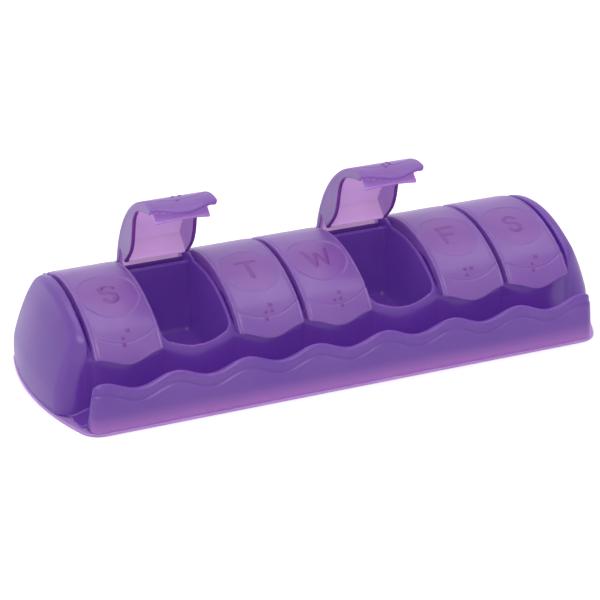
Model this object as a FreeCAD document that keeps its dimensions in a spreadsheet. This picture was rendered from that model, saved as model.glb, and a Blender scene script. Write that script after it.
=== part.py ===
"""Seven-day travel pill organizer: a moulded tray, seven hinged day lids, a hinge rod and a base plate.

Frame: X along the row of compartments, -Y is the front (the finger trough), +Z up, millimetres.
The origin is at the middle of the underside.
"""
import FreeCAD, Part
import Sketcher
import math
import os
import re
from FreeCAD import Placement, Rotation, Vector

os.makedirs("parts", exist_ok=True)
doc = FreeCAD.newDocument("pill_organizer")

# ---------------------------------------------------------------- driving dimensions
SIZES = {
    # the row of compartments
    "pitch": 29.0,
    "divider": 1.6,
    "wall": 1.8,
    "floor_top": 4.0,
    "pocket_front": -20.95,
    "pocket_back": 25.85,
    "pocket_corner": 2.5,
    "scallop_bulge": 2.3,
    # the casing outside
    "end_x": 118.9,
    "end_arc_radius": 112.0,
    "end_arc_y": 10.45,
    "back_y": 39.75,
    "base_front_y": -39.9,
    "base_back_y": 39.9,
    "corner_radius": 5.0,
    "front_corner_radius": 9.0,
    "plate_thick": 1.2,
    "plate_flange": 0.1,
    "shoulder_x": 102.3,
    "shoulder_drop": 0.3,
    "rim_drop": 4.2,
    "shelf_y": 31.2,
    "shelf_z": 31.0,
    "shelf_x": 103.6,
    # the wavy front wall and the trough behind it
    "crest_y": -37.15,
    "crest_z": 20.8,
    "wave_height": 4.3,
    "crest_half": 1.7,
    "wave_foot_front": -39.6,
    "wave_foot_back": -32.15,
    "wave_skin": 1.4,
    "wave_end_x": 109.0,
    "wave_end_lean": 2.6,
    "wave_end_radius": 5.0,
    # the lids
    "lid_width": 27.0,
    "lid_skin": 2.0,
    "hinge_y": 33.97,
    "hinge_z": 33.71,
    "barrel_radius": 2.3,
    "back_slope": 25.5,
    "back_run": 1.47,
    "ridge_radius": 55.7,
    "ridge_sweep": 56.65,
    "front_radius": 21.95,
    "front_sweep": 30.36,
    "lip_drop": 3.7,
    "rib_thick": 1.6,
    "rib_back_y": 23.8,
    "skirt_depth": 3.4,
    "back_rib_y": 22.2,
    "back_rib_low": 30.0,
    "front_rib_low": 22.5,
    "rib_clearance": 1.0,
    "open_angle": 51.0,
    # the hinge rod
    "rod_radius": 1.0,
    "rod_end_x": 103.4,
    "rod_gap_tray": 0.03,
    "rod_gap_lid": 0.08,
    "ear_thick": 1.5,
    # marks on the lids
    "oval_half_width": 11.5,
    "oval_half_height": 13.0,
    "oval_sweep": 37.75,
    "mark_depth": 0.35,
    "letter_height": 11.6,
    "letter_width": 9.0,
    "stroke": 1.6,
    "dot_radius": 0.8,
    "dot_pitch": 2.8,
    "dot_rise": 7.1,
}
sheet = doc.addObject("Spreadsheet::Sheet", "Sizes")
for row, (alias, value) in enumerate(SIZES.items(), start=1):
    sheet.set(f"A{row}", alias)
    sheet.set(f"B{row}", str(value))
    sheet.setAlias(f"B{row}", alias)
doc.recompute()

COMPARTMENTS = 7
DAYS = ("sunday", "monday", "tuesday", "wednesday", "thursday", "friday", "saturday")
LETTERS = "SMTWTFS"
STANDS_OPEN = ("monday", "thursday")
BRAILLE = {"S": (2, 3, 4), "M": (1, 3, 4), "T": (2, 3, 4, 5), "W": (2, 4, 5, 6), "F": (1, 2, 4)}
X_AXIS, Y_AXIS, Z_AXIS = Vector(1, 0, 0), Vector(0, 1, 0), Vector(0, 0, 1)


def size(alias):
    """A driving dimension, read from the sheet."""
    return float(sheet.get(alias))


def bind(obj, **expressions):
    """Bind properties to the sheet; PLACE_x stands for Placement.Base.x."""
    for prop, text in expressions.items():
        obj.setExpression(prop.replace("PLACE_", "Placement.Base."), text)
    return obj


def sheet_terms(text):
    """Write every alias in an expression as a reference to the sheet."""
    return re.sub(r"[a-z]\w+", lambda word: f"Sizes.{word.group()}", text)


def box(name, low, length):
    """A Part::Box from three low-corner expressions and three length expressions."""
    obj = doc.addObject("Part::Box", name)
    bind(obj, PLACE_x=sheet_terms(low[0]), PLACE_y=sheet_terms(low[1]), PLACE_z=sheet_terms(low[2]))
    bind(obj, Length=sheet_terms(length[0]), Width=sheet_terms(length[1]), Height=sheet_terms(length[2]))
    return obj


def x_cylinder(name, radius, low_x, length):
    """A Part::Cylinder about the hinge axis, from low_x along +X."""
    obj = doc.addObject("Part::Cylinder", name)
    obj.Placement = Placement(Vector(), Rotation(Y_AXIS, 90))
    bind(obj, Radius=sheet_terms(radius), Height=sheet_terms(length), PLACE_x=sheet_terms(low_x))
    bind(obj, PLACE_y="Sizes.hinge_y", PLACE_z="Sizes.hinge_z")
    return obj


def feature(name, shape):
    """A free-form solid that no primitive or sketch feature makes."""
    obj = doc.addObject("Part::Feature", name)
    obj.Shape = shape
    return obj


def fuse(name, parts):
    obj = doc.addObject("Part::MultiFuse", name)
    obj.Shapes = parts
    obj.Refine = True
    return obj


def cut(name, base, tool):
    obj = doc.addObject("Part::Cut", name)
    obj.Base, obj.Tool = base, tool
    obj.Refine = True
    return obj


# ---------------------------------------------------------------- the arch of the lids
def arch_parts(inset=0.0):
    """Start, joints, arc centres and radii of the lid arch, moved inwards by inset."""
    slope = math.radians(size("back_slope"))
    normal = Vector(0, math.sin(slope), math.cos(slope))
    hinge = Vector(0, size("hinge_y"), size("hinge_z"))
    outer_start = hinge + normal * size("barrel_radius")
    outer_ridge = outer_start + Vector(0, -math.cos(slope), math.sin(slope)) * size("back_run")
    ridge_centre = outer_ridge - normal * size("ridge_radius")
    lean = slope - math.radians(size("ridge_sweep"))
    front_normal = Vector(0, math.sin(lean), math.cos(lean))
    front_centre = ridge_centre + front_normal * (size("ridge_radius") - size("front_radius"))
    return {
        "start": outer_start - normal * inset,
        "ridge": outer_ridge - normal * inset,
        "ridge_centre": ridge_centre,
        "ridge_radius": size("ridge_radius") - inset,
        "front_centre": front_centre,
        "front_radius": size("front_radius") - inset,
        "slope": slope,
        "lean": lean,
    }


def arch_normal(sweep):
    """Outward direction on the front arc, sweep degrees on from the ridge."""
    lean = arch_parts()["lean"] - math.radians(sweep)
    return Vector(0, math.sin(lean), math.cos(lean))


def arch_point(sweep, inset=0.0):
    """A point on the front arc."""
    parts = arch_parts(inset)
    return parts["front_centre"] + arch_normal(sweep) * parts["front_radius"]


def ridge_point(sweep, inset=0.0):
    """A point and its outward direction on the long ridge arc, sweep degrees on from the back."""
    parts = arch_parts(inset)
    lean = parts["slope"] - math.radians(sweep)
    out = Vector(0, math.sin(lean), math.cos(lean))
    return parts["ridge_centre"] + out * parts["ridge_radius"], out


def arch_edges(inset, sweep):
    """The arch as three tangent edges: the back slope, the ridge arc and the front arc."""
    parts = arch_parts(inset)

    def on_arc(centre, radius, lean):
        return centre + Vector(0, math.sin(lean), math.cos(lean)) * radius

    middle = (parts["slope"] + parts["lean"]) / 2
    ridge_mid = on_arc(parts["ridge_centre"], parts["ridge_radius"], middle)
    front_start = arch_point(0, inset)
    return [
        Part.LineSegment(parts["start"], parts["ridge"]).toShape(),
        Part.Arc(parts["ridge"], ridge_mid, front_start).toShape(),
        Part.Arc(front_start, arch_point(sweep / 2, inset), arch_point(sweep, inset)).toShape(),
    ]


def arch_strip(outer, inner, sweep):
    """The face between two insets of the arch."""
    a, b = arch_parts(outer)["start"], arch_parts(inner)["start"]
    ends = [
        Part.LineSegment(a, b).toShape(),
        Part.LineSegment(arch_point(sweep, outer), arch_point(sweep, inner)).toShape(),
    ]
    edges = arch_edges(outer, sweep) + arch_edges(inner, sweep) + ends
    return Part.Face(Part.Wire(Part.__sortEdges__(edges)))


def under_arch(inset, depth_z, back_y, half_length):
    """Everything under the arch at an inset, down to depth_z and back to back_y."""
    sweep = size("front_sweep")
    start, lip = arch_parts(inset)["start"], arch_point(sweep, inset)
    corners = [start, Vector(0, back_y, start.z), Vector(0, back_y, depth_z), Vector(0, lip.y, depth_z), lip]
    edges = [Part.LineSegment(a, b).toShape() for a, b in zip(corners, corners[1:])]
    face = Part.Face(Part.Wire(Part.__sortEdges__(arch_edges(inset, sweep) + edges)))
    face.translate(Vector(-half_length, 0, 0))
    return face.extrude(Vector(2 * half_length, 0, 0))


# ---------------------------------------------------------------- plan outlines
def plan_outline(end_x, back_y, front_y, corner, z):
    """Closed outline: straight front and back, gently bowed ends, rounded back corners."""
    radius, centre_y = size("end_arc_radius"), size("end_arc_y")
    arc_centre = end_x - radius
    corner_y = back_y - corner
    corner_x = arc_centre + math.sqrt((radius - corner) ** 2 - (corner_y - centre_y) ** 2)
    turn = math.atan2(corner_y - centre_y, corner_x - arc_centre)
    front_turn = math.asin((front_y - centre_y) / radius)

    def on_end(angle):
        return Vector(arc_centre + radius * math.cos(angle), centre_y + radius * math.sin(angle), z)

    def on_corner(angle):
        return Vector(corner_x + corner * math.cos(angle), corner_y + corner * math.sin(angle), z)

    right = [
        (on_end(front_turn), on_end((front_turn + turn) / 2), on_end(turn)),
        (on_end(turn), on_corner((turn + math.pi / 2) / 2), on_corner(math.pi / 2)),
    ]
    left = [tuple(Vector(-p.x, p.y, p.z) for p in reversed(arc)) for arc in reversed(right)]
    edges = [Part.Arc(*arc).toShape() for arc in right]
    edges.append(Part.LineSegment(right[-1][-1], left[0][0]).toShape())
    edges += [Part.Arc(*arc).toShape() for arc in left]
    edges.append(Part.LineSegment(left[-1][-1], right[0][0]).toShape())
    return Part.Wire(edges)


CASING_LEVELS = (  # height, how far the ends and the back draw in, extra corner radius
    (1.2, 0.2, 0.3, 0.0),
    (8.0, 0.0, 0.0, 0.0),
    (14.0, 1.2, 0.1, 1.0),
    (20.0, 3.1, 0.5, 2.0),
    (26.0, 5.4, 1.2, 4.0),
    (31.0, 8.0, 2.2, 6.0),
    (36.0, 10.7, 4.2, 8.0),
    (43.0, 13.4, 9.0, 10.0),
)


def casing_solid(inset):
    """The domed casing: outlines that draw in towards the top, lofted upwards."""
    front = size("pocket_front") - size("wall") + inset
    wires = []
    for z, ends_in, back_in, rounder in CASING_LEVELS:
        end_x = size("end_x") - ends_in - inset
        corner = size("corner_radius") + rounder - inset
        wires.append(plan_outline(end_x, size("back_y") - back_in - inset, front, corner, z))
    return Part.makeLoft(wires, True, False)


# ---------------------------------------------------------------- tray
def scallop_radius():
    """Plan radius of the outside of a compartment's bowed front wall."""
    half, bulge = size("pitch") / 2, size("scallop_bulge")
    return (half ** 2 + bulge ** 2) / (2 * bulge)


def compartment_x(index):
    return (index - (COMPARTMENTS - 1) / 2) * size("pitch")


def scallop_centre_y():
    front_wall = size("pocket_front") - size("wall")
    return front_wall - size("scallop_bulge") + scallop_radius()


def front_scallops():
    """The bowed outer faces of the compartment fronts, one segment each."""
    segments = []
    front_wall = size("pocket_front") - size("wall")
    for index in range(COMPARTMENTS):
        x = compartment_x(index)
        base = Vector(x, scallop_centre_y(), size("plate_thick"))
        drum = Part.makeCylinder(scallop_radius(), 34.0, base)
        low = Vector(x - size("pitch") / 2, front_wall - 4.0, size("plate_thick"))
        segments.append(drum.common(Part.makeBox(size("pitch"), 4.5, 34.0, low)))
    return segments[0].multiFuse(segments[1:]).removeSplitter()


def pocket(index):
    """The hollow of one compartment, with rounded bottom edges."""
    width = size("pitch") - size("divider")
    x = compartment_x(index)
    depth = size("pocket_back") - size("pocket_front") + 5.0
    low = Vector(x - width / 2, size("pocket_front") - 5.0, size("floor_top"))
    block = Part.makeBox(width, depth, 60.0, low)
    base = Vector(x, scallop_centre_y(), size("floor_top"))
    solid = block.common(Part.makeCylinder(scallop_radius() - size("wall"), 60.0, base))
    bottom = [edge for edge in solid.Edges if edge.BoundBox.ZMax < size("floor_top") + 0.01]
    upright = [edge for edge in solid.Edges if edge.BoundBox.ZLength > 50.0]
    return solid.makeFillet(size("pocket_corner"), bottom + upright)


def rim_cutter():
    """Everything above the divider rims and the hinge shelf, between the end shoulders."""
    inset = size("rim_drop")
    sweep = size("front_sweep") + 25.0
    lip, start = arch_point(sweep, inset), arch_parts(inset)["start"]
    top = 70.0
    corners = [start, Vector(0, start.y, top), Vector(0, lip.y - 12, top), Vector(0, lip.y - 12, lip.z), lip]
    edges = [Part.LineSegment(a, b).toShape() for a, b in zip(corners, corners[1:])]
    face = Part.Face(Part.Wire(Part.__sortEdges__(arch_edges(inset, sweep) + edges)))
    face.translate(Vector(-size("shoulder_x"), 0, 0))
    above = face.extrude(Vector(2 * size("shoulder_x"), 0, 0))
    low = Vector(-size("shelf_x"), size("shelf_y"), size("shelf_z"))
    return above.fuse(Part.makeBox(2 * size("shelf_x"), 30.0, 20.0, low))


def wave_prism(inset, half_length):
    """The front wall before its top is cut wavy: a leaning ridge, level all along."""
    floor, top = size("plate_thick"), size("crest_z") + 1.0 - inset
    crest, half = size("crest_y"), size("crest_half") - inset
    corners = [
        Vector(-half_length, size("wave_foot_front") + inset, floor),
        Vector(-half_length, crest - half, top),
        Vector(-half_length, crest + half, top),
        Vector(-half_length, size("wave_foot_back") - inset, floor),
    ]
    return Part.Face(Part.makePolygon(corners + corners[:1])).extrude(Vector(2 * half_length, 0, 0))


def wave_cutter(lower):
    """Everything above a wavy line whose crests stand at the dividers."""
    reach = size("end_x") + 10.0
    mean = size("crest_z") - size("wave_height") / 2 - lower
    points = []
    for step in range(-4 * COMPARTMENTS - 4, 4 * COMPARTMENTS + 5):
        x = step * size("pitch") / 8
        turn = 2 * math.pi * (x / size("pitch") + COMPARTMENTS / 2)
        level = mean + size("wave_height") / 2 * math.cos(turn)
        if abs(x) > size("pitch") * COMPARTMENTS / 2:
            level = mean + size("wave_height") / 2
        points.append(Vector(x, size("base_front_y") - 5.0, level))
    line = Part.BSplineCurve()
    line.interpolate(points)
    first, last = points[0], points[-1]
    corners = [last, Vector(last.x, last.y, 60.0), Vector(first.x, first.y, 60.0), first]
    edges = [line.toShape()] + [Part.LineSegment(a, b).toShape() for a, b in zip(corners, corners[1:])]
    return Part.Face(Part.Wire(Part.__sortEdges__(edges))).extrude(Vector(0, 18.0, 0))


def wave_end_mask():
    """An upright slab with leaning ends and round upper corners, for the wavy wall's free ends."""
    end_x, floor, top = size("wave_end_x"), size("plate_thick"), size("crest_z") + 0.05
    top_x, front = end_x - size("wave_end_lean"), size("base_front_y") - 1
    corners = [
        Vector(-end_x, front, floor),
        Vector(end_x, front, floor),
        Vector(top_x, front, top),
        Vector(-top_x, front, top),
    ]
    slab = Part.Face(Part.makePolygon(corners + corners[:1])).extrude(Vector(0, 14.0, 0))
    upper = [e for e in slab.Edges if e.BoundBox.ZMin > top - 0.01 and e.BoundBox.XLength < 0.01]
    return slab.makeFillet(size("wave_end_radius"), upper)


def foot_mask(inset, thick):
    """The base outline as a slab with round front corners."""
    front = size("base_front_y") + inset
    end_x, back_y = size("end_x") + size("plate_flange") - inset, size("base_back_y") - inset
    wire = plan_outline(end_x, back_y, front, size("corner_radius"), 0.0)
    slab = Part.Face(wire).extrude(Vector(0, 0, thick))
    upright = [e for e in slab.Edges if e.BoundBox.ZLength > thick - 0.01 and e.BoundBox.YMax < front + 0.1]
    return slab.makeFillet(size("front_corner_radius") - inset, upright)


def casing_shell():
    """The casing with its hollow back and ends, standing on the base plate."""
    skin, inner = size("shoulder_drop"), size("shoulder_drop") + size("wall")
    reach = size("end_x") + 5.0
    outer = casing_solid(0.0).common(under_arch(skin, 0.0, 60.0, reach))
    hollow = casing_solid(size("wall")).common(under_arch(inner, 0.0, 60.0, reach))
    span = size("shoulder_x") + size("wall")
    row_low = Vector(-span, size("pocket_front") - 10.0, 0.0)
    row_depth = size("pocket_back") + size("wall") - row_low.y
    row = Part.makeBox(2 * span, row_depth, 60.0, row_low)
    shelf_low = Vector(-size("shelf_x") - size("wall"), row_low.y, size("shelf_z") - size("wall"))
    shelf = Part.makeBox(2 * (size("shelf_x") + size("wall")), 90.0, 30.0, shelf_low)
    return outer.cut(hollow.cut(row).cut(shelf))


casing = feature("CasingShell", casing_shell())
scallops = feature("FrontScallops", front_scallops())
floor_low = Vector(-size("end_x") - 5, size("wave_foot_back") - 0.5, size("plate_thick"))
floor_depth = size("pocket_front") - size("wall") - floor_low.y + 0.4
floor_rise = size("floor_top") - size("plate_thick")
floor_box = Part.makeBox(2 * size("end_x") + 10, floor_depth, floor_rise, floor_low)
trough_floor = feature("TroughFloor", foot_mask(0.8, 30.0).common(floor_box))
wave_solid = wave_prism(0.0, size("wave_end_x")).common(wave_end_mask()).common(foot_mask(0.4, 30.0))
wave_level = feature("WaveLevel", wave_solid)
wave_top = feature("WaveTop", wave_cutter(0.0))
wave_wavy = cut("WaveWavy", wave_level, wave_top)
hollow_level = wave_prism(size("wave_skin"), size("wave_end_x") - 3.0)
wave_hollow = feature("WaveHollow", hollow_level.cut(wave_cutter(size("wave_skin"))))
wave = cut("WaveWall", wave_wavy, wave_hollow)
body = fuse("TrayBody", [casing, scallops, trough_floor, wave])
rims = feature("RimCutter", rim_cutter())
trimmed = cut("TrayTrimmed", body, rims)
pockets = feature("Pockets", Part.Compound([pocket(i) for i in range(COMPARTMENTS)]))
emptied = cut("TrayEmptied", trimmed, pockets)


def tray_ears():
    """Hinge ears between the lids, and one beside each end shoulder."""
    ears = []
    for index in range(COMPARTMENTS + 1):
        middle = (index - COMPARTMENTS / 2) * size("pitch")
        low, length = middle - size("ear_thick") / 2, size("ear_thick")
        if index in (0, COMPARTMENTS):
            length = size("shelf_x") + size("wall") / 2 - abs(middle) + size("ear_thick") / 2
            low = low if index else size("ear_thick") / 2 - abs(middle) - length
        ear = doc.addObject("Part::Cylinder", f"EarRound{index}")
        ear.Placement = Placement(Vector(low, 0, 0), Rotation(Y_AXIS, 90))
        ear.Height = length
        bind(ear, Radius="Sizes.barrel_radius", PLACE_y="Sizes.hinge_y", PLACE_z="Sizes.hinge_z")
        leg = doc.addObject("Part::Box", f"EarLeg{index}")
        leg.Length = length
        leg.Placement.Base = Vector(low, 0, 0)
        bind(leg, Width="2 * Sizes.barrel_radius", Height="Sizes.hinge_z - Sizes.shelf_z + 0.4")
        bind(leg, PLACE_y="Sizes.hinge_y - Sizes.barrel_radius", PLACE_z="Sizes.shelf_z - 0.4")
        ears += [ear, leg]
    return ears


doc.recompute()
eared = fuse("TrayEared", [emptied] + tray_ears())
rod_bore = x_cylinder("TrayBore", "rod_radius + rod_gap_tray", "-(rod_end_x + 0.2)", "2 * rod_end_x + 0.4")
base_tray = cut("base_tray", eared, rod_bore)

# ---------------------------------------------------------------- hinge rod
rod_body = doc.addObject("PartDesign::Body", "hinge_rod")
origin_planes = {plane.Role: plane for plane in rod_body.Origin.OriginFeatures}
rod_sketch = rod_body.newObject("Sketcher::SketchObject", "RodSection")
rod_sketch.AttachmentSupport = [(origin_planes["YZ_Plane"], "")]
rod_sketch.MapMode = "FlatFace"
rod_centre = Vector(size("hinge_y"), size("hinge_z"), 0)
rod_sketch.addGeometry(Part.Circle(rod_centre, Z_AXIS, size("rod_radius")), False)
for kind, alias, geometry in (("Radius", "rod_radius", (0,)), ("DistanceX", "hinge_y", (-1, 1, 0, 3)),
                              ("DistanceY", "hinge_z", (-1, 1, 0, 3))):
    number = rod_sketch.addConstraint(Sketcher.Constraint(kind, *geometry, size(alias)))
    rod_sketch.setExpression(f"Constraints[{number}]", f"Sizes.{alias}")
rod_pad = rod_body.newObject("PartDesign::Pad", "RodPad")
rod_pad.Profile = rod_sketch
rod_pad.Midplane = True
rod_pad.setExpression("Length", "2 * Sizes.rod_end_x")
doc.recompute()
rod_ends = rod_body.newObject("PartDesign::Fillet", "RodEnds")
rod_ends.Base = (rod_pad, ["Edge1", "Edge3"])
rod_ends.setExpression("Radius", "Sizes.rod_radius * 0.4")
doc.recompute()

# ---------------------------------------------------------------- base plate
plate_blank = foot_mask(0.0, size("plate_thick"))
plate_edges = [e for e in plate_blank.Edges if e.BoundBox.ZLength < 0.01]
plate_skin = feature("PlateSkin", plate_blank.makeFillet(0.35, plate_edges))
back_rib = box("PlateBackRib", ("-95", "back_y - wall - 3", "plate_thick - 0.4"), ("190", "1.2", "3.4"))
front_rib = box("PlateFrontRib", ("-95", "wave_foot_front + 2.6", "plate_thick - 0.4"), ("190", "1.2", "3.4"))
base_plate = fuse("base_plate", [plate_skin, back_rib, front_rib])

# ---------------------------------------------------------------- lid blank, closed, centred on X = 0
LIP_EXTRA = math.degrees(size("lip_drop") / size("front_radius"))


def lip_cutter():
    """Trims the lid's front edge to an arc that reaches furthest at its middle."""
    half, drop = size("lid_width") / 2, size("lip_drop")
    radius = (half ** 2 + drop ** 2) / (2 * drop)
    corner, out = arch_point(size("front_sweep")), arch_normal(size("front_sweep"))
    down = Vector(0, -out.z, out.y)
    turn = Rotation(X_AXIS, down, out, "XYZ")
    slab = Part.makeBox(60, 12, 16, Vector(-30, 0, -8))
    disc = Part.makeCylinder(radius, 20, Vector(0, drop - radius, -10))
    tool = slab.cut(disc)
    tool.Placement = Placement(corner, turn)
    return tool


def rib_web():
    """Side view of a side rib: a level lower edge that rises towards the front."""
    inner = size("lid_skin") / 2
    back_y = size("rib_back_y")
    free_edge = [
        (back_y, 30.0),
        (18.0, 29.2),
        (12.0, 29.0),
        (6.4, 30.5),
        (2.2, 32.7),
        (-3.6, 35.0),
        (-9.7, 34.5),
        (-14.0, 32.2),
        (-20.0, 28.0),
    ]
    points = [Vector(0, y, z) for y, z in free_edge]
    curve = Part.BSplineCurve()
    curve.interpolate(points)
    roof = under_arch(inner, 0.0, 60.0, 0.5)
    front = Vector(0, -24.0, 25.2)
    corners = [points[-1], front, Vector(0, front.y, 60), Vector(0, back_y, 60), points[0]]
    edges = [curve.toShape()] + [Part.LineSegment(a, b).toShape() for a, b in zip(corners, corners[1:])]
    slab = Part.Face(Part.Wire(Part.__sortEdges__(edges))).extrude(Vector(0.4, 0, 0))
    cheek = slab.common(roof)
    sides = [f for f in cheek.Faces if abs(f.BoundBox.XMax) < 0.001 and f.BoundBox.XLength < 0.001]
    return sides[0]


def skirt_strip():
    """Side view of the shallow skirt that carries a side rib back to the barrel."""
    strip = arch_strip(size("lid_skin") / 2, size("skirt_depth"), size("front_sweep"))
    behind = Part.makeBox(4.0, 60.0, 60.0, Vector(-2.0, -5.0, 0.0))
    return strip.common(behind).Faces[0]


def cross_ribs():
    """The bowed front rib that drops inside the compartment's front wall, and the back rib."""
    reach = size("lid_width") / 2
    roof = under_arch(size("lid_skin") / 2, 15.0, 40.0, reach)
    outer_radius = scallop_radius() - size("wall") - size("rib_clearance")
    base = Vector(0, scallop_centre_y(), 15.0)
    ring = Part.makeCylinder(outer_radius, 30.0, base)
    ring = ring.cut(Part.makeCylinder(outer_radius - size("rib_thick"), 30.0, base))
    window = Part.makeBox(2 * reach - 5, 12.0, 22.0, Vector(2.5 - reach, -28.0, size("front_rib_low")))
    front = ring.common(window).common(roof)
    back_low = Vector(-reach, size("back_rib_y"), size("back_rib_low"))
    back = Part.makeBox(2 * reach, size("rib_thick"), 10.0, back_low).common(roof)
    return [feature("LidFrontRib", front), feature("LidBackRib", back)]


def side_rib(name, low_x, outline):
    """A rib or skirt along one side edge, from its side view."""
    obj = doc.addObject("Part::Extrusion", name)
    obj.Base = feature(f"{name}Outline", outline)
    obj.Dir = X_AXIS
    obj.Solid = True
    obj.setExpression("LengthFwd", "Sizes.rib_thick")
    return bind(obj, PLACE_x=sheet_terms(low_x))


skin_face = feature("LidSection", arch_strip(0.0, size("lid_skin"), size("front_sweep") + LIP_EXTRA))
skin = doc.addObject("Part::Extrusion", "LidSkin")
skin.Base = skin_face
skin.Dir = X_AXIS
skin.Solid = True
skin.Symmetric = True
skin.setExpression("LengthFwd", "Sizes.lid_width")
trimmed_skin = cut("LidSkinTrimmed", skin, feature("LipCutter", lip_cutter()))
barrel = x_cylinder("LidBarrel", "barrel_radius", "-lid_width / 2", "lid_width")
sides = []
for side, low_x in (("Left", "-lid_width / 2"), ("Right", "lid_width / 2 - rib_thick")):
    sides.append(side_rib(f"{side}Rib", low_x, rib_web()))
    sides.append(side_rib(f"{side}Skirt", low_x, skirt_strip()))
doc.recompute()
lid_solid = fuse("LidSolid", [trimmed_skin, barrel] + sides + cross_ribs())
lid_bore = x_cylinder("LidBore", "rod_radius + rod_gap_lid", "-lid_width", "2 * lid_width")
lid_blank = cut("LidBlank", lid_solid, lid_bore)


# ---------------------------------------------------------------- marks on the lids
def mark_placement():
    """Local frame of the oval window: X across, Y up the lid, Z out of the surface."""
    point, out = ridge_point(size("oval_sweep"))
    return Placement(point, Rotation(X_AXIS, Vector(0, out.z, -out.y), out, "XYZ"))


def bar(start, end):
    """A straight stroke of a letter, in the window's frame."""
    ax, ay = start
    bx, by = end
    length = math.hypot(bx - ax, by - ay)
    solid = Part.makeBox(length + size("stroke"), size("stroke"), 4.0,
                         Vector(-size("stroke") / 2, -size("stroke") / 2, -2.0))
    solid.rotate(Vector(), Z_AXIS, math.degrees(math.atan2(by - ay, bx - ax)))
    solid.translate(Vector(ax, ay, 0))
    return solid


def bow(centre, radius, start_angle, sweep):
    """A round stroke of a letter."""
    half = size("stroke") / 2
    where = Vector(centre[0], centre[1], -2.0)
    outer = Part.makeCylinder(radius + half, 4.0, where, Z_AXIS, sweep)
    inner = Part.makeCylinder(radius - half, 4.0, where, Z_AXIS)
    ring = outer.cut(inner)
    ring.rotate(Vector(centre[0], centre[1], 0), Z_AXIS, start_angle)
    return ring


def letter_solid(letter):
    """A plain capital letter as strokes."""
    tall = (size("letter_height") - size("stroke")) / 2
    wide = (size("letter_width") - size("stroke")) / 2
    bars = {
        "M": [((-wide, -tall), (-wide, tall)), ((wide, -tall), (wide, tall)),
              ((-wide, tall), (0, -tall * 0.2)), ((wide, tall), (0, -tall * 0.2))],
        "T": [((0, -tall), (0, tall)), ((-wide, tall), (wide, tall))],
        "W": [((-wide * 1.3, tall), (-wide * 0.65, -tall)), ((-wide * 0.65, -tall), (0, tall * 0.5)),
              ((wide * 1.3, tall), (wide * 0.65, -tall)), ((wide * 0.65, -tall), (0, tall * 0.5))],
        "F": [((-wide * 0.8, -tall), (-wide * 0.8, tall)), ((-wide * 0.8, tall), (wide, tall)),
              ((-wide * 0.8, 0), (wide * 0.5, 0))],
    }
    if letter == "S":
        radius = tall / 2
        strokes = [bow((0, radius), radius, 15, 255), bow((0, -radius), radius, -165, 255)]
    else:
        strokes = [bar(*ends) for ends in bars[letter]]
    return strokes[0].multiFuse(strokes[1:]) if len(strokes) > 1 else strokes[0]


def window_cutter(letter):
    """The shallow oval recess, with the letter left standing in it."""
    half_height, half_width = size("oval_half_height"), size("oval_half_width")
    ellipse = Part.Ellipse(Vector(0, half_height, 0), Vector(half_width, 0, 0), Vector())
    disc = Part.Face(Part.Wire(ellipse.toShape())).extrude(Vector(0, 0, 8.0))
    disc.translate(Vector(0, 0, -5.0))
    tool = disc.cut(letter_solid(letter))
    tool.Placement = mark_placement()
    layer = arch_strip(-0.5, size("mark_depth"), size("front_sweep"))
    layer.translate(Vector(-20, 0, 0))
    return tool.common(layer.extrude(Vector(40, 0, 0)))


def braille_dots(letter):
    """Raised Braille cell above the lip; dots 1 to 3 run down the left column."""
    dots = []
    for number in BRAILLE[letter]:
        column, line = divmod(number - 1, 3)
        rise = size("dot_rise") + (1 - line) * size("dot_pitch")
        point = arch_point(size("front_sweep") - math.degrees(rise / size("front_radius")), 0.3)
        across = Vector((column - 0.5) * size("dot_pitch"), 0, 0)
        dots.append(Part.makeSphere(size("dot_radius"), point + across))
    return dots


doc.recompute()
cutters = {letter: feature(f"Window{letter}", window_cutter(letter)) for letter in sorted(set(LETTERS))}
dot_groups = {letter: [feature(f"Dot{letter}{i}", dot) for i, dot in enumerate(braille_dots(letter))]
              for letter in sorted(set(LETTERS))}
marked = {}
for letter in sorted(set(LETTERS)):
    windowed = cut(f"Windowed{letter}", lid_blank, cutters[letter])
    marked[letter] = fuse(f"Marked{letter}", [windowed] + dot_groups[letter])
doc.recompute()

lids = []
hinge_point = Vector(0, size("hinge_y"), size("hinge_z"))
for index, day in enumerate(DAYS):
    lid = feature(f"lid_{day}", marked[LETTERS[index]].Shape.copy())
    angle = size("open_angle") if day in STANDS_OPEN else 0.0
    swing = Placement(Vector(), Rotation(X_AXIS, -angle), hinge_point)
    lid.Placement = Placement(Vector(compartment_x(index), 0, 0), Rotation()).multiply(swing)
    lids.append(lid)
doc.recompute()

# ---------------------------------------------------------------- check and write
for obj in doc.Objects:
    bad = [state for state in obj.State if state in ("Invalid", "Error")]
    if bad:
        raise RuntimeError(f"{obj.Label} did not recompute: {bad}")
for obj in [base_tray, base_plate, rod_body] + lids:
    shape = obj.Shape
    if shape.isNull() or not shape.isValid() or len(shape.Solids) != 1:
        raise RuntimeError(f"{obj.Label} is not one valid solid: {len(shape.Solids)} solids")
    box_of = shape.BoundBox
    print(f"{obj.Label}: {shape.Volume / 1000:.2f} cm3, X {box_of.XMin:.2f} {box_of.XMax:.2f},"
          f" Y {box_of.YMin:.2f} {box_of.YMax:.2f}, Z {box_of.ZMin:.2f} {box_of.ZMax:.2f}")
    shape.exportStep(f"parts/{obj.Label}.step")
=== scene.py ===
"""A weekly pill organizer in milky purple plastic, on a pale studio floor."""
import math

import bpy
import numpy as np
from mathutils import Matrix, Vector


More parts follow.
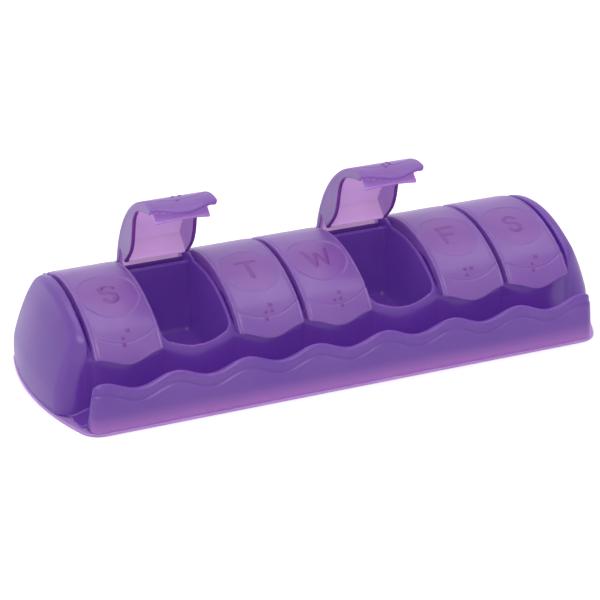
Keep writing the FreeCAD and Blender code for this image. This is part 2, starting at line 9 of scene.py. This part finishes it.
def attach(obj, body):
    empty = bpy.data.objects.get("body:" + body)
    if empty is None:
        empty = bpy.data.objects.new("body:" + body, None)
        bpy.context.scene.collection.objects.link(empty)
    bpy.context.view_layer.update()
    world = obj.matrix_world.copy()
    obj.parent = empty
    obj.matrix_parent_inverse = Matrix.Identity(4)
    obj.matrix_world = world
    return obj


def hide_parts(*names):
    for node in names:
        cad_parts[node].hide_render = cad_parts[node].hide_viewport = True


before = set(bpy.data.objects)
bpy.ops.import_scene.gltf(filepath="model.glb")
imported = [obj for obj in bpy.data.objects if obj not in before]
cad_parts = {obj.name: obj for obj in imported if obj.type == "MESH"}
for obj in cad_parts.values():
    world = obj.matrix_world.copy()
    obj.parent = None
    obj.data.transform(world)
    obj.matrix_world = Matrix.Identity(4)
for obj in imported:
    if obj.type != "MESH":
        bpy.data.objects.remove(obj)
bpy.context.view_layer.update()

MM = 0.001

# ---------------------------------------------------------------- sizes in mm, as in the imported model
PITCH = 29.0
COUNT = 7
HALF_PITCH = PITCH / 2
ROW_HALF = PITCH * COUNT / 2
SHOULDER = 102.3
NOTCH = 103.6
HINGE_Y, HINGE_Z = 33.97, 33.71
OPEN_ANGLE = 51.0
DAYS = ("sunday", "monday", "tuesday", "wednesday", "thursday", "friday", "saturday")
LETTERS = "SMTWTFS"
STANDS_OPEN = ("monday", "thursday")
BRAILLE = {"S": (2, 3, 4), "M": (1, 3, 4), "T": (2, 3, 4, 5), "W": (2, 4, 5, 6), "F": (1, 2, 4)}
BARREL = 2.3
SLOPE = math.radians(25.5)
RUN = 1.47
RIDGE_R, FRONT_R = 55.7, 21.95
FRONT_LEAN = SLOPE - math.radians(56.65)
SWEEP = math.radians(30.36)
LIP_DROP = 3.7
START = (HINGE_Y + BARREL * math.sin(SLOPE), HINGE_Z + BARREL * math.cos(SLOPE))
RIDGE_C = (START[0] - RUN * math.cos(SLOPE) - RIDGE_R * math.sin(SLOPE),
           START[1] + RUN * math.sin(SLOPE) - RIDGE_R * math.cos(SLOPE))
FRONT_C = (RIDGE_C[0] + (RIDGE_R - FRONT_R) * math.sin(FRONT_LEAN),
           RIDGE_C[1] + (RIDGE_R - FRONT_R) * math.cos(FRONT_LEAN))
FRONT_Y = -22.75
BULGE = 2.3
SCALLOP_R = (HALF_PITCH ** 2 + BULGE ** 2) / (2 * BULGE)
SCALLOP_Y = FRONT_Y - BULGE + SCALLOP_R
WALL = 1.8
FLOOR_TOP = 4.0
PLATE_TOP = 1.2
POCKET_BACK = 25.85
POCKET_HALF = 13.7
POCKET_CORNER = 2.5
SHELF_Y, SHELF_Z = 31.2, 31.0
RIM = 4.2
END_RADIUS, END_MIDDLE = 112.0, 10.45
END_CENTRE = 6.9
EAR_HALF = 0.75
# the wavy wall: its crests, its feet and how far each face leans in over its height
CREST_Z, WAVE_SWING, WAVE_TALL = 20.8, 2.15, 18.6
WAVE_FRONT, WAVE_BACK = -39.6, -32.15
FRONT_LEANS, BACK_LEANS = 0.8, 3.3
# the lids
LID_HALF, LID_SKIN = 13.5, 2.0
SKIRT_DEPTH = 3.4
RIB_X, RIB_HALF = 12.7, 0.8
RIB_BACK_Y = 23.8
FRONT_RIB_LOW, BACK_RIB_LOW, BACK_RIB_Y = 22.5, 30.0, 23.0
BORE = 1.08
OVAL_X, OVAL_S, OVAL_MIDDLE = 11.5, 13.0, 30.0
DOT_RADIUS, DOT_PITCH, DOT_RISE = 0.8, 2.8, 7.1


# ---------------------------------------------------------------- distance helpers
def rmax(a, b, r):
    """Both conditions, with a round edge of radius r where they meet."""
    return np.minimum(np.maximum(a, b), -r) + np.hypot(np.maximum(a + r, 0), np.maximum(b + r, 0))


def rmin(a, b, r):
    """Either condition, with a fillet of radius r where they meet."""
    return -rmax(-a, -b, r)


def step(t):
    t = np.clip(t, 0, 1)
    return t * t * (3 - 2 * t)


def arch(y, z):
    """Signed distance from the outside of the closed lids' arch; negative underneath."""
    lean = np.arctan2(y - RIDGE_C[0], z - RIDGE_C[1])
    back = (y - START[0]) * math.sin(SLOPE) + (z - START[1]) * math.cos(SLOPE)
    ridge = np.hypot(y - RIDGE_C[0], z - RIDGE_C[1]) - RIDGE_R
    front = np.hypot(y - FRONT_C[0], z - FRONT_C[1]) - FRONT_R
    return np.where(lean > SLOPE, back, np.where(lean < FRONT_LEAN, front, ridge))


def along(y, z):
    """Distance along the arch, back from the lid's lip, in mm."""
    lean = np.arctan2(y - RIDGE_C[0], z - RIDGE_C[1])
    ridge = FRONT_R * SWEEP + RIDGE_R * (lean - FRONT_LEAN)
    front = FRONT_R * (SWEEP - FRONT_LEAN + np.arctan2(y - FRONT_C[0], z - FRONT_C[1]))
    return np.where(lean < FRONT_LEAN, front, ridge)


# ---------------------------------------------------------------- surface from a distance field
def mesh_field(name, field, low, high, cell):
    """A closed mesh of the zero surface of field(x, y, z), refined onto the surface."""
    axes = [np.arange(lo, hi + cell, cell) for lo, hi in zip(low, high)]
    x, y, z = np.meshgrid(*axes, indexing="ij", sparse=True)
    values = np.broadcast_to(field(x, y, z), [len(a) for a in axes]).astype(np.float32)
    inside = values < 0
    nx, ny, nz = inside.shape
    total = np.zeros((nx - 1, ny - 1, nz - 1, 3), np.float32)
    hits = np.zeros((nx - 1, ny - 1, nz - 1), np.int8)
    for axis in range(3):
        a = np.moveaxis(values, axis, 0)
        crossing = (a[1:] < 0) != (a[:-1] < 0)
        with np.errstate(divide="ignore", invalid="ignore"):
            part = np.where(crossing, a[:-1] / (a[:-1] - a[1:]), 0)
        crossing, part = np.moveaxis(crossing, 0, axis), np.moveaxis(part, 0, axis)
        others = [k for k in range(3) if k != axis]
        for i in (0, 1):
            for j in (0, 1):
                window = [slice(None)] * 3
                window[others[0]] = slice(i, i + total.shape[others[0]])
                window[others[1]] = slice(j, j + total.shape[others[1]])
                c, p = crossing[tuple(window)], part[tuple(window)]
                hits += c
                total[..., axis] += p
                total[..., others[0]] += np.where(c, i, 0)
                total[..., others[1]] += np.where(c, j, 0)
    used = hits > 0
    number = np.cumsum(used.ravel()).reshape(used.shape) - 1
    where = np.argwhere(used)
    points = where + total[used] / hits[used][:, None]
    points = points * cell + np.array(low)
    faces = []
    for axis in range(3):
        a = np.moveaxis(inside, axis, 0)
        crossing = np.moveaxis(a[1:] != a[:-1], 0, axis)
        o1, o2 = [(1, 2), (2, 0), (0, 1)][axis]
        window = [slice(None)] * 3
        window[o1], window[o2] = slice(1, -1), slice(1, -1)
        at = np.argwhere(crossing[tuple(window)])
        at[:, o1] += 1
        at[:, o2] += 1
        first = inside[tuple(at.T)]
        e1, e2 = np.eye(3, dtype=int)[o1], np.eye(3, dtype=int)[o2]
        ring = [number[tuple((at - d).T)] for d in (0 * e1, e1, e1 + e2, e2)]
        quad = np.stack(ring, axis=1)
        quad[~first] = quad[~first][:, ::-1]
        faces.append(quad)
    faces = np.concatenate(faces)
    h = 0.02
    for _ in range(3):
        px, py, pz = points.T
        value = field(px, py, pz)
        grad = np.stack([field(px + h, py, pz) - value, field(px, py + h, pz) - value,
                         field(px, py, pz + h) - value], axis=1) / h
        square = np.maximum((grad ** 2).sum(axis=1), 0.3)
        move = grad * (value / square)[:, None]
        length = np.linalg.norm(move, axis=1, keepdims=True)
        points -= move * np.minimum(1, 0.35 * cell / np.maximum(length, 1e-9))
    return make_mesh(name, points, faces)


def make_mesh(name, points, faces):
    """A smooth-shaded object from points in mm and quads."""
    mesh = bpy.data.meshes.new(name)
    mesh.vertices.add(len(points))
    mesh.vertices.foreach_set("co", (np.asarray(points) * MM).ravel())
    mesh.loops.add(faces.size)
    mesh.loops.foreach_set("vertex_index", faces.ravel().astype(np.int32))
    mesh.polygons.add(len(faces))
    mesh.polygons.foreach_set("loop_start", np.arange(0, faces.size, 4, dtype=np.int32))
    mesh.polygons.foreach_set("use_smooth", np.ones(len(faces), bool))
    mesh.update(calc_edges=True)
    mesh.validate()
    obj = bpy.data.objects.new(name, mesh)
    bpy.context.scene.collection.objects.link(obj)
    return obj


# ---------------------------------------------------------------- the tray
END_Z = (0.0, 6.0, 12.0, 18.0, 24.0, 30.0, 36.0, 42.0, 46.0)
END_X = (118.4, 118.8, 118.3, 116.5, 114.4, 111.9, 108.8, 106.2, 104.0)
BACK_Z = (0.0, 6.0, 14.0, 22.0, 30.0, 36.0, 44.0)
BACK_Y = (39.3, 39.7, 39.65, 39.0, 37.9, 35.6, 30.0)


def smooth_table(z, knots, values):
    """A table of heights read with rounded joints."""
    result = 0
    for shift in (-2.0, -1.0, 0.0, 1.0, 2.0):
        result = result + np.interp(z + shift, knots, values)
    return result / 5


def casing(x, y, z):
    """The domed outside of the casing."""
    end_x = smooth_table(z, END_Z, END_X)
    back_y = smooth_table(z, BACK_Z, BACK_Y)
    ends = np.hypot(np.abs(x) - (end_x - END_RADIUS), y - END_MIDDLE) - END_RADIUS
    sides = rmax(ends, y - back_y, 6.0)
    column = rmax(sides, FRONT_Y - y, 6.0)
    return rmax(column, arch(y, z) + 0.3, 2.2)


def scallops(x, y):
    """The bowed compartment fronts, between the two end shoulders."""
    local = np.abs((x + ROW_HALF) % PITCH - HALF_PITCH)
    local = np.where(np.abs(x) > ROW_HALF, HALF_PITCH, local)
    return np.hypot(local, y - SCALLOP_Y) - SCALLOP_R


def end_bow(x, y, inset):
    """The gently bowed ends of the outline, drawn in by inset."""
    return np.hypot(np.abs(x) - END_CENTRE, y - END_MIDDLE) - (END_RADIUS - inset)


def wavy_wall(x, y, z):
    """The wavy front wall, thicker below a second wavy line that follows its top."""
    height = CREST_Z - WAVE_SWING + WAVE_SWING * np.cos(2 * math.pi * (x + ROW_HALF) / PITCH)
    height = np.where(np.abs(x) > ROW_HALF, CREST_Z, height)
    foot = CREST_Z - WAVE_TALL
    lean, lean_back = FRONT_LEANS / WAVE_TALL, BACK_LEANS / WAVE_TALL
    front = (WAVE_FRONT - y + lean * (z - foot)) / math.hypot(1, lean)
    back = (y - WAVE_BACK + lean_back * (z - foot)) / math.hypot(1, lean_back)
    line_drop, line_depth = 4.2, 0.8
    below_line = line_depth * step((height - line_drop - z) / 0.6)
    ridge = rmax(front + line_depth - below_line, back, 1.2)
    ridge = rmax(ridge, z - height, 1.6)
    free_end = np.abs(x) - 109.2 + 0.13 * z
    return rmax(rmax(ridge, end_bow(x, y, 0.6), 3.0), free_end, 5.0)


def compartments(x, y, z):
    """The seven hollows, with round edges."""
    local = np.abs((x + ROW_HALF) % PITCH - HALF_PITCH)
    bow = np.hypot(local, y - SCALLOP_Y) - (SCALLOP_R - WALL)
    hollow = rmax(rmax(bow, local - POCKET_HALF, POCKET_CORNER), y - POCKET_BACK, POCKET_CORNER)
    hollow = rmax(hollow, FLOOR_TOP - z, POCKET_CORNER)
    return np.maximum(hollow, np.abs(x) - ROW_HALF)


def trough_floor(x, y, z):
    """The floor between the row and the wavy wall, which runs down to the plate at its ends."""
    top = FLOOR_TOP - 2.4 * step((np.abs(x) - 101.0) / 10.0)
    floor = np.maximum(np.maximum(z - top, -32.5 - y), y + 22.0)
    return rmax(floor, end_bow(x, y, 0.8), 2.0)


def hinge_ears(x, y, z):
    """The ears that hold the rod, and the fins that join them to the rims."""
    foot_z = 28.0
    slot = np.abs((x + ROW_HALF + HALF_PITCH) % PITCH - HALF_PITCH)
    disc = np.hypot(y - HINGE_Y, z - HINGE_Z) - BARREL
    leg = np.maximum(np.abs(y - HINGE_Y) - BARREL, np.maximum(z - HINGE_Z, foot_z - z))
    fin = arch(y, z) + 0.9 + 3.3 * (1 - step((y - 19.0) / 9.0))
    fin = np.maximum(np.maximum(fin, foot_z - z), np.maximum(y - HINGE_Y - BARREL, 15.0 - y))
    side = np.maximum(slot - EAR_HALF, np.abs(x) - NOTCH - 0.8)
    return rmax(np.minimum(np.minimum(disc, leg), fin), side, 0.3)


def tray_field(x, y, z):
    """The whole tray: casing, compartments, trough floor, wavy wall and hinge ears."""
    outside = casing(x, y, z)
    shell = np.maximum(outside, -(outside + WALL))
    rim_roof = arch(y, z) + RIM
    recess = rmax(np.abs(x) - SHOULDER, -rim_roof, 0.2)
    row = rmax(scallops(x, y), rim_roof, 0.8)
    row = rmax(rmax(row, y - POCKET_BACK - WALL, 0.4), np.abs(x) - SHOULDER - WALL, 0.2)
    ledge = rmax(np.maximum(rim_roof, SHELF_Z - WALL - z), np.maximum(-y, y - SHELF_Y), 0.2)
    ledge = np.maximum(ledge, np.abs(x) - SHOULDER)
    hinge_zone = np.maximum(np.maximum(SHELF_Z - z, SHELF_Y - y), np.abs(x) - NOTCH)
    body = rmin(rmax(shell, -recess, 0.4), row, 0.3)
    body = np.minimum(body, ledge)
    body = rmax(body, -compartments(x, y, z), 0.7)
    body = rmax(body, -hinge_zone, 0.4)
    front = np.minimum(trough_floor(x, y, z), wavy_wall(x, y, z))
    body = rmin(body, front, 0.8)
    body = np.minimum(body, hinge_ears(x, y, z))
    return np.maximum(body, PLATE_TOP - z)


# ---------------------------------------------------------------- the lids
# the free edge of the side ribs
FREE_Y = (-24.0, -20.0, -14.0, -9.7, -3.6, 2.2, 6.4, 12.0, 18.0, 24.7)
FREE_Z = (24.5, 28.0, 32.3, 34.7, 35.0, 32.7, 30.5, 29.0, 29.2, 30.2)


def segment(u, v, a, b):
    """Distance from a straight stroke."""
    du, dv = b[0] - a[0], b[1] - a[1]
    t = np.clip(((u - a[0]) * du + (v - a[1]) * dv) / (du * du + dv * dv), 0, 1)
    return np.hypot(u - a[0] - t * du, v - a[1] - t * dv)


def bow_stroke(u, v, centre, radius, start, sweep):
    """Distance from a round stroke."""
    points = []
    for k in range(13):
        turn = math.radians(start + sweep * k / 12)
        points.append((centre[0] + radius * math.cos(turn), centre[1] + radius * math.sin(turn)))
    result = None
    for a, b in zip(points, points[1:]):
        d = segment(u, v, a, b)
        result = d if result is None else np.minimum(result, d)
    return result


def letter_distance(letter, u, v):
    """Distance from the strokes of a plain capital letter."""
    tall, wide = 5.0, 3.7
    if letter == "S":
        upper = bow_stroke(u, v, (0, tall / 2), tall / 2, 15, 255)
        lower = bow_stroke(u, v, (0, -tall / 2), tall / 2, -165, 255)
        return np.minimum(upper, lower)
    bars = {
        "M": [((-wide, -tall), (-wide, tall)), ((wide, -tall), (wide, tall)),
              ((-wide, tall), (0, -tall * 0.2)), ((wide, tall), (0, -tall * 0.2))],
        "T": [((0, -tall), (0, tall)), ((-wide, tall), (wide, tall))],
        "W": [((-wide * 1.3, tall), (-wide * 0.65, -tall)), ((-wide * 0.65, -tall), (0, tall * 0.5)),
              ((wide * 1.3, tall), (wide * 0.65, -tall)), ((wide * 0.65, -tall), (0, tall * 0.5))],
        "F": [((-wide * 0.8, -tall), (-wide * 0.8, tall)), ((-wide * 0.8, tall), (wide, tall)),
              ((-wide * 0.8, 0), (wide * 0.5, 0))],
    }
    result = None
    for a, b in bars[letter]:
        d = segment(u, v, a, b)
        result = d if result is None else np.minimum(result, d)
    return result


def braille_places(letter):
    """Where each dot stands: across the lid, and along it from the lip."""
    places = []
    for number in BRAILLE[letter]:
        column, line = divmod(number - 1, 3)
        places.append(((column - 0.5) * DOT_PITCH, DOT_RISE + (1 - line) * DOT_PITCH))
    return places


def sunk_marks(letter, x, s):
    """How far the outside is sunk: the oval around its letter, and lines along the edges and the lip."""
    u, v = x, s - OVAL_MIDDLE
    rho = np.hypot(u / OVAL_X, v / OVAL_S)
    sunk = 0.3 * step((1 - rho) * 12.0 / 0.6) + 0.3 * np.exp(-((rho - 1) * 12.0 / 0.4) ** 2)
    sunk = sunk * (1 - step((0.95 - letter_distance(letter, u, v)) / 0.3))
    sunk = sunk + 0.3 * np.exp(-((np.abs(x) - 12.35) / 0.35) ** 2)
    return sunk + 0.3 * np.exp(-((s - 5.0 - 0.03 * x ** 2) / 0.4) ** 2)


def lid_ribs(x, y, z, a):
    """The side ribs with their shallow skirts, the bowed front rib and the back rib."""
    free = (smooth_table(y, FREE_Y, FREE_Z) - z) * 0.95
    under = np.minimum(np.maximum(free, y - RIB_BACK_Y), np.maximum(-a - SKIRT_DEPTH, -5.0 - y))
    web = rmax(under, np.abs(np.abs(x) - RIB_X) - RIB_HALF, 0.5)
    web = rmax(web, np.maximum(np.maximum(a + 1.0, y - 33.5), -24.5 - y), 0.4)
    ring = np.abs(np.hypot(x, y - SCALLOP_Y) - (SCALLOP_R - WALL - 1.0 - RIB_HALF)) - RIB_HALF
    ring = np.where(y < 0, ring, 5.0)
    front_ends = np.maximum(np.abs(x) - 11.0, a + 1.0)
    front_rib = rmax(rmax(ring, FRONT_RIB_LOW - z, 0.5), front_ends, 0.2)
    back_ends = np.maximum(np.abs(x) - 12.2, a + 1.0)
    back_rib = rmax(rmax(np.abs(y - BACK_RIB_Y) - RIB_HALF, BACK_RIB_LOW - z, 0.5), back_ends, 0.2)
    return web, front_rib, back_rib


def lid_field(letter):
    """The field of one closed lid, centred on X = 0."""

    def field(x, y, z):
        a, s = arch(y, z), along(y, z)
        drop = LIP_DROP * (0.5 + 0.5 * np.cos(math.pi * np.clip(x / LID_HALF, -1, 1)))
        back = (y - START[0]) * math.cos(SLOPE) - (z - START[1]) * math.sin(SLOPE)
        ends = np.maximum(-s - drop, back)
        skin = rmax(a + sunk_marks(letter, x, s), -(a + LID_SKIN), 0.55)
        skin = rmax(skin, rmax(np.abs(x) - LID_HALF, ends, 1.0), 0.6)
        from_axis = np.hypot(y - HINGE_Y, z - HINGE_Z)
        lid = rmin(skin, rmax(from_axis - BARREL, np.abs(x) - LID_HALF, 0.4), 0.8)
        for rib, fillet in zip(lid_ribs(x, y, z, a), (0.4, 0.5, 0.5)):
            lid = rmin(lid, rib, fillet)
        for across, rise in braille_places(letter):
            turn = FRONT_LEAN - SWEEP + rise / FRONT_R
            dot_y = FRONT_C[0] + (FRONT_R - 0.3) * math.sin(turn)
            dot_z = FRONT_C[1] + (FRONT_R - 0.3) * math.cos(turn)
            dot = np.sqrt((x - across) ** 2 + (y - dot_y) ** 2 + (z - dot_z) ** 2) - DOT_RADIUS
            lid = rmin(lid, dot, 0.25)
        return np.maximum(lid, BORE - from_axis)

    return field


# ---------------------------------------------------------------- materials
ROUGHNESS = 0.3
THIN = 0.2
BLEED = 0.004


def plastic(name, colour, deep, glow, painted_glow):
    """Milky plastic: light bleeds sideways inside it, and a little comes right through; painted_glow is
    an emission, a painted glow standing in for the light scattered inside.
    """
    material = bpy.data.materials.new(name)
    material.use_nodes = True
    nodes, links = material.node_tree.nodes, material.node_tree.links
    nodes.clear()
    out = nodes.new("ShaderNodeOutputMaterial")
    body = nodes.new("ShaderNodeBsdfPrincipled")
    body.inputs["Specular IOR Level"].default_value = 0.5
    body.inputs["Subsurface Weight"].default_value = 1.0
    body.inputs["Subsurface Radius"].default_value = (1.0, 0.6, 1.0)
    body.inputs["Subsurface Scale"].default_value = BLEED
    # painted glow: an emission that stands in for light scattered through the plastic
    body.inputs["Emission Color"].default_value = (*painted_glow, 1)
    body.inputs["Emission Strength"].default_value = 1.0
    through = nodes.new("ShaderNodeBsdfTranslucent")
    through.inputs["Color"].default_value = (*glow, 1)
    mix = nodes.new("ShaderNodeMixShader")
    mix.inputs[0].default_value = THIN
    where = nodes.new("ShaderNodeTexCoord")
    cloud = nodes.new("ShaderNodeTexNoise")
    cloud.inputs["Scale"].default_value = 45
    cloud.inputs["Detail"].default_value = 3
    spread = nodes.new("ShaderNodeMapRange")
    spread.inputs["From Min"].default_value = 0.35
    spread.inputs["From Max"].default_value = 0.7
    tone = nodes.new("ShaderNodeMix")
    tone.data_type = "RGBA"
    tone.inputs[6].default_value = (*colour, 1)
    tone.inputs[7].default_value = (*deep, 1)
    grain = nodes.new("ShaderNodeTexNoise")
    grain.inputs["Scale"].default_value = 900
    bump = nodes.new("ShaderNodeBump")
    bump.inputs["Strength"].default_value = 0.05
    bump.inputs["Distance"].default_value = 0.0002
    polish = nodes.new("ShaderNodeMapRange")
    polish.inputs["To Min"].default_value = ROUGHNESS - 0.05
    polish.inputs["To Max"].default_value = ROUGHNESS + 0.08
    links.new(where.outputs["Object"], cloud.inputs["Vector"])
    links.new(where.outputs["Object"], grain.inputs["Vector"])
    links.new(cloud.outputs["Fac"], spread.inputs["Value"])
    links.new(spread.outputs["Result"], tone.inputs[0])
    links.new(tone.outputs[2], body.inputs["Base Color"])
    links.new(cloud.outputs["Fac"], polish.inputs["Value"])
    links.new(polish.outputs["Result"], body.inputs["Roughness"])
    links.new(grain.outputs["Fac"], bump.inputs["Height"])
    links.new(bump.outputs["Normal"], body.inputs["Normal"])
    links.new(body.outputs[0], mix.inputs[1])
    links.new(through.outputs[0], mix.inputs[2])
    links.new(mix.outputs[0], out.inputs["Surface"])
    return material


def add_zone(material, limits, colour, painted_glow):
    """Blend another tone and its painted glow (emission) into a plastic inside a soft-edged box, in the
    object's own metres.
    """
    nodes, links = material.node_tree.nodes, material.node_tree.links
    body = next(n for n in nodes if n.type == "BSDF_PRINCIPLED")
    where = nodes.new("ShaderNodeTexCoord")
    parts = nodes.new("ShaderNodeSeparateXYZ")
    links.new(where.outputs["Object"], parts.inputs[0])
    mask = None
    for axis, inner, outer in limits:
        edge = nodes.new("ShaderNodeMapRange")
        edge.interpolation_type = "SMOOTHSTEP"
        edge.inputs["From Min"].default_value = outer
        edge.inputs["From Max"].default_value = inner
        links.new(parts.outputs[axis], edge.inputs["Value"])
        if mask is None:
            mask = edge.outputs["Result"]
            continue
        both = nodes.new("ShaderNodeMath")
        both.operation = "MULTIPLY"
        links.new(mask, both.inputs[0])
        links.new(edge.outputs["Result"], both.inputs[1])
        mask = both.outputs[0]
    for socket, value in (("Base Color", colour), ("Emission Color", painted_glow)):
        blend = nodes.new("ShaderNodeMix")
        blend.data_type = "RGBA"
        links.new(mask, blend.inputs[0])
        if body.inputs[socket].is_linked:
            links.new(body.inputs[socket].links[0].from_socket, blend.inputs[6])
        else:
            blend.inputs[6].default_value = body.inputs[socket].default_value
        blend.inputs[7].default_value = (*value, 1)
        links.new(blend.outputs[2], body.inputs[socket])


def linear(hex_colour):
    """A colour given as sRGB hex digits, in linear light."""
    parts = [int(hex_colour[i:i + 2], 16) / 255 for i in (0, 2, 4)]
    return tuple(c / 12.92 if c <= 0.04045 else ((c + 0.055) / 1.055) ** 2.4 for c in parts)


# painted glow: faint emission colours that stand in for light scattered through the milky plastic
TRAY_PAINTED_GLOW = (0.036, 0.011, 0.125)
LID_PAINTED_GLOW = (0.02, 0.006, 0.05)
PLASTICS = {  # the plastic, its deeper tone, the light that comes through it, its painted glow (an emission standing in for light scattered in the plastic)
    "tray_plastic": ("613C7C", "57347A", "9A60D0", TRAY_PAINTED_GLOW),
    "lid_plastic": ("745192", "6B468E", "B080D0", LID_PAINTED_GLOW),
    # dark tint for the letters; also painted shade on the braille dots and the rib edges
    "letter_and_shade_plastic": ("66307C", "66307C", "A060B8", LID_PAINTED_GLOW),
    "window_plastic": ("744A8E", "6E448A", "B880D0", LID_PAINTED_GLOW),
    # painted light: a lighter, glowing copy of the lid plastic for the underside, standing in for light
    # shining through the thin lid
    "painted_backlit_plastic": ("B48CCB", "A87EC4", "D8A8E8", (0.29, 0.2, 0.24)),
    # painted light: a lighter, glowing copy of the lid plastic for the side skirts, standing in for
    # light shining through them
    "painted_lit_skirt_plastic": ("8A60A8", "8056A0", "C090D8", (0.15, 0.09, 0.19)),
    "plate_plastic": ("9A7AAE", "8E6CA4", "C0A0D8", (0.07, 0.04, 0.12)),
    "rod_plastic": ("6A4090", "603888", "9060B8", TRAY_PAINTED_GLOW),
}
plastics = {name: plastic(name, linear(colour), linear(deep), linear(glow), painted_glow)
            for name, (colour, deep, glow, painted_glow) in PLASTICS.items()}

# softly bounded stretches of the tray: axis, where the tone is full, where it has faded out
# lighter and pinker towards the foot of the wavy wall, with a stronger painted glow
WALL_FOOT_PAINTED_GLOW = (("Y", -0.0375, -0.036), ("Z", 0.0, 0.0095))
# painted shade: the trough and the front wall under the lids are made darker where shade falls
TROUGH_PAINTED_SHADE = (("Y", -0.0355, -0.0375), ("Y", -0.0215, -0.0195), ("Z", 0.019, 0.028))
add_zone(plastics["tray_plastic"], TROUGH_PAINTED_SHADE, linear("50296E"), (0.046, 0.012, 0.155))
add_zone(plastics["tray_plastic"], WALL_FOOT_PAINTED_GLOW, linear("8A5694"), (0.12, 0.05, 0.17))


def wear(obj, material):
    obj.data.materials.clear()
    obj.data.materials.append(material)


# ---------------------------------------------------------------- build
scene = bpy.context.scene
scene.view_settings.view_transform = "Standard"
tray = mesh_field("tray_shell", tray_field, (-120.6, -41.4, 0.1), (120.6, 41.4, 44.0), 0.52)
wear(tray, plastics["tray_plastic"])
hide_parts("base_tray")
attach(tray, "tray")
wear(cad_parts["base_plate"], plastics["plate_plastic"])
wear(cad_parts["hinge_rod"], plastics["rod_plastic"])

hinge = Vector((0, HINGE_Y * MM, HINGE_Z * MM))
shapes = {}


LID_TINTS = ("lid_plastic", "letter_and_shade_plastic", "window_plastic", "painted_backlit_plastic", "painted_lit_skirt_plastic")
LID, LETTER_AND_SHADE, WINDOW, PAINTED_BACKLIT, PAINTED_LIT_SKIRT = range(len(LID_TINTS))


def paint_lid(mesh, letter):
    """Give the letter, the oval window and the underside their own tints; the underside and skirt tints
    are painted light, and the dark tint on the braille dots and the rib edges is painted shade.
    """
    mesh.materials.clear()
    for name in LID_TINTS:
        mesh.materials.append(plastics[name])
    centres = np.empty(len(mesh.polygons) * 3)
    mesh.polygons.foreach_get("center", centres)
    x, y, z = centres.reshape(-1, 3).T / MM
    depth, s = arch(y, z), along(y, z)
    v = s - OVAL_MIDDLE
    outside = depth > -0.6
    tint = np.full(len(x), LID)
    tint[outside & (np.hypot(x / OVAL_X, v / OVAL_S) < 0.97)] = WINDOW
    tint[outside & (letter_distance(letter, x, v) < 0.85)] = LETTER_AND_SHADE
    # painted shade: the braille dots take the dark letter tint, standing in for the shade around each
    # raised dot
    for across, rise in braille_places(letter):
        tint[outside & (np.hypot(x - across, s - rise) < DOT_RADIUS + 0.1)] = LETTER_AND_SHADE
    under = (depth < -1.7) & (y < 32.0)
    between_ribs = np.abs(x) < 11.8
    # painted light: the underside and the skirts take lighter, glowing copies of the lid plastic,
    # standing in for light shining through the lid
    tint[under & (np.abs(x) < 13.2)] = PAINTED_LIT_SKIRT
    tint[under & between_ribs & ((depth > -2.7) | (y > 21.0))] = PAINTED_BACKLIT
    # painted shade: a dark line along the free edge of each side rib
    rib_edge = np.abs(smooth_table(y, FREE_Y, FREE_Z) - z) < 0.45
    tint[under & rib_edge & ~between_ribs & (depth < -3.0)] = LETTER_AND_SHADE
    mesh.polygons.foreach_set("material_index", tint)


for index, day in enumerate(DAYS):
    letter = LETTERS[index]
    if letter not in shapes:
        low, high = (-14.4, -29.9, 18.9), (14.4, 37.5, 43.3)
        first = mesh_field(f"lid_shape_{letter}", lid_field(letter), low, high, 0.36)
        paint_lid(first.data, letter)
        shapes[letter] = first.data.copy()
        bpy.data.objects.remove(first)
    lid = bpy.data.objects.new(f"lid_shell_{day}", shapes[letter].copy())
    scene.collection.objects.link(lid)
    swing = Matrix.Identity(4)
    if day in STANDS_OPEN:
        turn = Matrix.Rotation(math.radians(-OPEN_ANGLE), 4, "X")
        swing = Matrix.Translation(hinge) @ turn @ Matrix.Translation(-hinge)
    place = Matrix.Translation(Vector(((index - 3) * PITCH * MM, 0, 0)))
    lid.data.transform(place @ swing)
    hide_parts(f"lid_{day}")
    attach(lid, f"lid_{day}_body")

# ---------------------------------------------------------------- studio
bpy.ops.mesh.primitive_plane_add(size=6, location=(0, 0, 0))
floor = bpy.context.object
floor.name = "floor"
pale = bpy.data.materials.new("floor_paint")
pale.use_nodes = True
pale.node_tree.nodes["Principled BSDF"].inputs["Base Color"].default_value = (0.9, 0.9, 0.9, 1)
pale.node_tree.nodes["Principled BSDF"].inputs["Roughness"].default_value = 0.9
floor.data.materials.append(pale)

world = bpy.data.worlds.new("studio")
scene.world = world
world.use_nodes = True
world.node_tree.nodes["Background"].inputs[0].default_value = (1, 1, 1, 1)
world.node_tree.nodes["Background"].inputs[1].default_value = 1.0


def area(name, place, target, size, power):
    light = bpy.data.lights.new(name, "AREA")
    light.shape = "RECTANGLE"
    light.size, light.size_y = size
    light.energy = power
    obj = bpy.data.objects.new(name, light)
    obj.location = place
    obj.rotation_euler = (Vector(target) - Vector(place)).to_track_quat("-Z", "Y").to_euler()
    scene.collection.objects.link(obj)
    return obj


area("key", (-0.5, -0.7, 1.1), (0, 0, 0.03), (0.8, 0.8), 9)
area("top", (0.2, 0.3, 1.2), (0, 0, 0.03), (1.2, 0.6), 4.5)

camera_data = bpy.data.cameras.new("camera")
camera = bpy.data.objects.new("camera", camera_data)
scene.collection.objects.link(camera)
scene.camera = camera
azimuth, elevation, distance = math.radians(-22.85), math.radians(25.51), 0.9001
target = Vector((0, -0.00415, 0.024))
level = math.cos(elevation)
towards = Vector((math.sin(azimuth) * level, -math.cos(azimuth) * level, math.sin(elevation)))
camera.location = target + distance * towards
aim = (target - camera.location).to_track_quat("-Z", "Y")
camera.rotation_euler = aim.to_euler()
camera_data.sensor_width = 36
camera_data.lens = 135
camera_data.shift_x = -0.03127
camera_data.shift_y = -0.00632
camera_data.clip_end = 20
